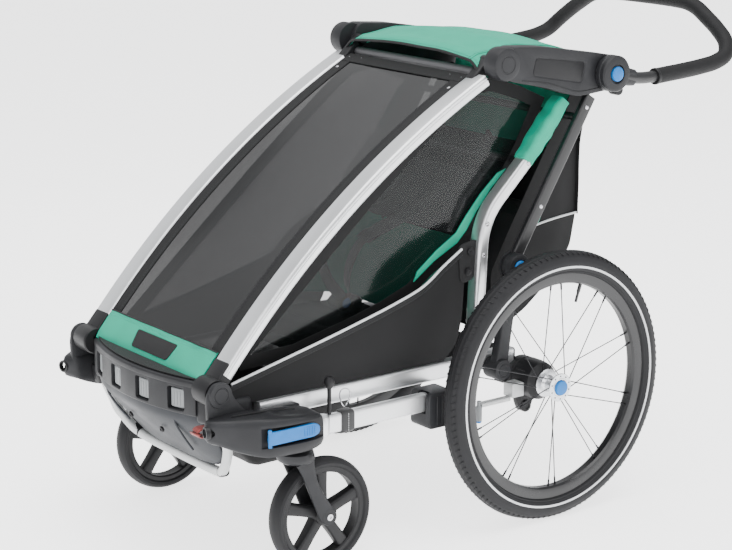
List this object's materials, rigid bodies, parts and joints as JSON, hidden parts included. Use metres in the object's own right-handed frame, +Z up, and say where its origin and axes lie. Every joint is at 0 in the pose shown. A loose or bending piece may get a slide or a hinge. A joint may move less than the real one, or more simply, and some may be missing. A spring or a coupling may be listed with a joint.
{
  "type": "child bicycle trailer",
  "caption": "Folding child trailer with fabric body, tinted windscreen, silver frame, two spoked wheels, two castors, stored hitch arm and a tilting handlebar.",
  "frame": {"origin": "on the ground under the middle of the trailer", "axes": "+X the child's left, -Y the direction of travel, +Z up"},
  "size_m": [0.66, 1.222, 0.912],
  "materials": {
    "satin_silver": "satin",
    "black_plastic": "moulded",
    "black_paint": "satin powder coat",
    "grey_plastic": "moulded",
    "green_fabric": "woven",
    "black_fabric": "woven",
    "grey_fabric": "woven",
    "film": "tinted film",
    "mesh": "mesh",
    "foam": "foam",
    "blue_plastic": "moulded",
    "tyre": "rubber",
    "rim_black": "satin",
    "spoke_steel": "satin",
    "hub_silver": "turned",
    "red_web": "webbing"
  },
  "bodies": {
    "chassis": {"side_rails": "satin_silver", "front_bumper": "black_plastic", "footwell_panel": "grey_plastic", "kick_guard": "satin_silver", "wing_left": "black_plastic", "wing_right": "black_plastic", "floor_sling": "black_fabric", "rear_axle_tube": "satin_silver", "axle_housings": "black_plastic", "rear_posts": "black_plastic", "hitch_receiver": "satin_silver", "side_panels": "black_fabric", "seat_base": "grey_fabric", "cargo_bag": "black_fabric", "hitch_holder": "black_plastic", "pull_strap": "red_web", "side_windows": "mesh", "rear_panel": "black_fabric"},
    "front_frame": {"front_tube_left": "satin_silver", "front_tube_right": "satin_silver", "front_knuckles": "black_plastic", "top_cross_tube": "black_paint", "windscreen": "film", "lower_band": "green_fabric"},
    "shoulders": {"shoulder_left": "black_plastic", "shoulder_right": "black_plastic", "rear_cross_tube": "black_paint", "roof": "green_fabric"},
    "rear_struts": {"rear_strut_left": "black_paint", "rear_strut_right": "black_paint", "strut_cross_tube": "black_paint"},
    "seat_frame": {"seat_tubes": "satin_silver", "seat_top_bar": "black_paint", "seat_back": "grey_fabric"},
    "handlebar": {"handlebar_tube": "black_paint", "handlebar_grip": "foam", "handlebar_hubs": "black_plastic"},
    "hitch": {"hitch_arm": "satin_silver"},
    "rear_wheel_left": {"rear_tyre_left": "tyre", "rear_rim_left": "rim_black", "spokes_left": "spoke_steel", "hub_left": "hub_silver"},
    "wheel_button_left": {"hub_button_left": "blue_plastic"},
    "handlebar_release_left": {"handlebar_button_left": "blue_plastic"},
    "fold_release_left": {"fold_button_left": "blue_plastic"},
    "castor_left": {"castor_fork_left": "black_plastic"},
    "castor_wheel_left": {"castor_tyre_left": "tyre", "castor_rim_left": "black_plastic"},
    "castor_lever_left": {"release_lever_left": "blue_plastic"},
    "rear_wheel_right": {"rear_tyre_right": "tyre", "rear_rim_right": "rim_black", "spokes_right": "spoke_steel", "hub_right": "hub_silver"},
    "wheel_button_right": {"hub_button_right": "blue_plastic"},
    "handlebar_release_right": {"handlebar_button_right": "blue_plastic"},
    "fold_release_right": {"fold_button_right": "blue_plastic"},
    "castor_right": {"castor_fork_right": "black_plastic"},
    "castor_wheel_right": {"castor_tyre_right": "tyre", "castor_rim_right": "black_plastic"},
    "castor_lever_right": {"release_lever_right": "blue_plastic"}
  },
  "joints": [
    {"name": "frame_fold", "type": "hinge", "parent": "chassis", "child": "front_frame", "pos_m": [0, -0.567, 0.337], "axis": [1, 0, 0], "range_deg": [-19.6, 0], "deforming": ["side_windows", "rear_panel", "cargo_bag", "floor_sling"]},
    {"name": "shoulder_fold", "type": "hinge", "parent": "front_frame", "child": "shoulders", "pos_m": [0, 0.031, 0.832], "axis": [1, 0, 0], "range_deg": [0, 36]},
    {"name": "strut_fold", "type": "hinge", "parent": "chassis", "child": "rear_struts", "pos_m": [0, 0.058, 0.466], "axis": [1, 0, 0], "range_deg": [-40, 0]},
    {"name": "seat_fold", "type": "hinge", "parent": "chassis", "child": "seat_frame", "pos_m": [0, -0.007, 0.288], "axis": [1, 0, 0], "range_deg": [-42, 0]},
    {"name": "handlebar_tilt", "type": "hinge", "parent": "shoulders", "child": "handlebar", "pos_m": [0, 0.272, 0.798], "axis": [1, 0, 0], "range_deg": [-50, 60]},
    {"name": "hitch_swing", "type": "hinge", "parent": "chassis", "child": "hitch", "pos_m": [0.25, -0.377, 0.253], "axis": [0, 0, 1], "range_deg": [-85, 0]},
    {"name": "wheel_spin_left", "type": "hinge", "parent": "chassis", "child": "rear_wheel_left", "pos_m": [0.306, 0.101, 0.25], "axis": [1, 0, 0], "continuous": true},
    {"name": "wheel_button_press_left", "type": "slide", "parent": "rear_wheel_left", "child": "wheel_button_left", "axis": [-1, 0, 0], "range_m": [0, 0.003], "stiffness_N_per_m": 600, "springref_m": -0.002},
    {"name": "castor_swivel_left", "type": "hinge", "parent": "chassis", "child": "castor_left", "pos_m": [0.255, -0.435, 0.204], "axis": [0, 0, 1], "continuous": true},
    {"name": "castor_spin_left", "type": "hinge", "parent": "castor_left", "child": "castor_wheel_left", "pos_m": [0.255, -0.385, 0.1], "axis": [1, 0, 0], "continuous": true},
    {"name": "handlebar_button_press_left", "type": "slide", "parent": "handlebar", "child": "handlebar_release_left", "axis": [-1, 0, 0], "range_m": [0, 0.0025], "stiffness_N_per_m": 600, "springref_m": -0.002},
    {"name": "fold_button_press_left", "type": "slide", "parent": "chassis", "child": "fold_release_left", "axis": [-1, 0, 0], "range_m": [0, 0.0025], "stiffness_N_per_m": 600, "springref_m": -0.002},
    {"name": "castor_lever_pull_left", "type": "hinge", "parent": "chassis", "child": "castor_lever_left", "pos_m": [0.2995, -0.515, 0.27], "axis": [0, 0, -1], "range_deg": [0, 14], "stiffness_Nm_per_rad": 0.5, "springref_deg": -5.73},
    {"name": "wheel_spin_right", "type": "hinge", "parent": "chassis", "child": "rear_wheel_right", "pos_m": [-0.306, 0.101, 0.25], "axis": [1, 0, 0], "continuous": true},
    {"name": "wheel_button_press_right", "type": "slide", "parent": "rear_wheel_right", "child": "wheel_button_right", "axis": [1, 0, 0], "range_m": [0, 0.003], "stiffness_N_per_m": 600, "springref_m": -0.002},
    {"name": "castor_swivel_right", "type": "hinge", "parent": "chassis", "child": "castor_right", "pos_m": [-0.255, -0.435, 0.204], "axis": [0, 0, 1], "continuous": true},
    {"name": "castor_spin_right", "type": "hinge", "parent": "castor_right", "child": "castor_wheel_right", "pos_m": [-0.255, -0.385, 0.1], "axis": [1, 0, 0], "continuous": true},
    {"name": "handlebar_button_press_right", "type": "slide", "parent": "handlebar", "child": "handlebar_release_right", "axis": [1, 0, 0], "range_m": [0, 0.0025], "stiffness_N_per_m": 600, "springref_m": -0.002},
    {"name": "fold_button_press_right", "type": "slide", "parent": "chassis", "child": "fold_release_right", "axis": [1, 0, 0], "range_m": [0, 0.0025], "stiffness_N_per_m": 600, "springref_m": -0.002},
    {"name": "castor_lever_pull_right", "type": "hinge", "parent": "chassis", "child": "castor_lever_right", "pos_m": [-0.2995, -0.515, 0.27], "axis": [0, 0, 1], "range_deg": [0, 14], "stiffness_Nm_per_rad": 0.5, "springref_deg": -5.73}
  ],
  "couplings": [
    {"joint": "shoulder_fold", "follows": "frame_fold", "ratio": -1.75},
    {"joint": "strut_fold", "follows": "frame_fold", "ratio": 1.95},
    {"joint": "seat_fold", "follows": "frame_fold", "ratio": 2.05}
  ]
}
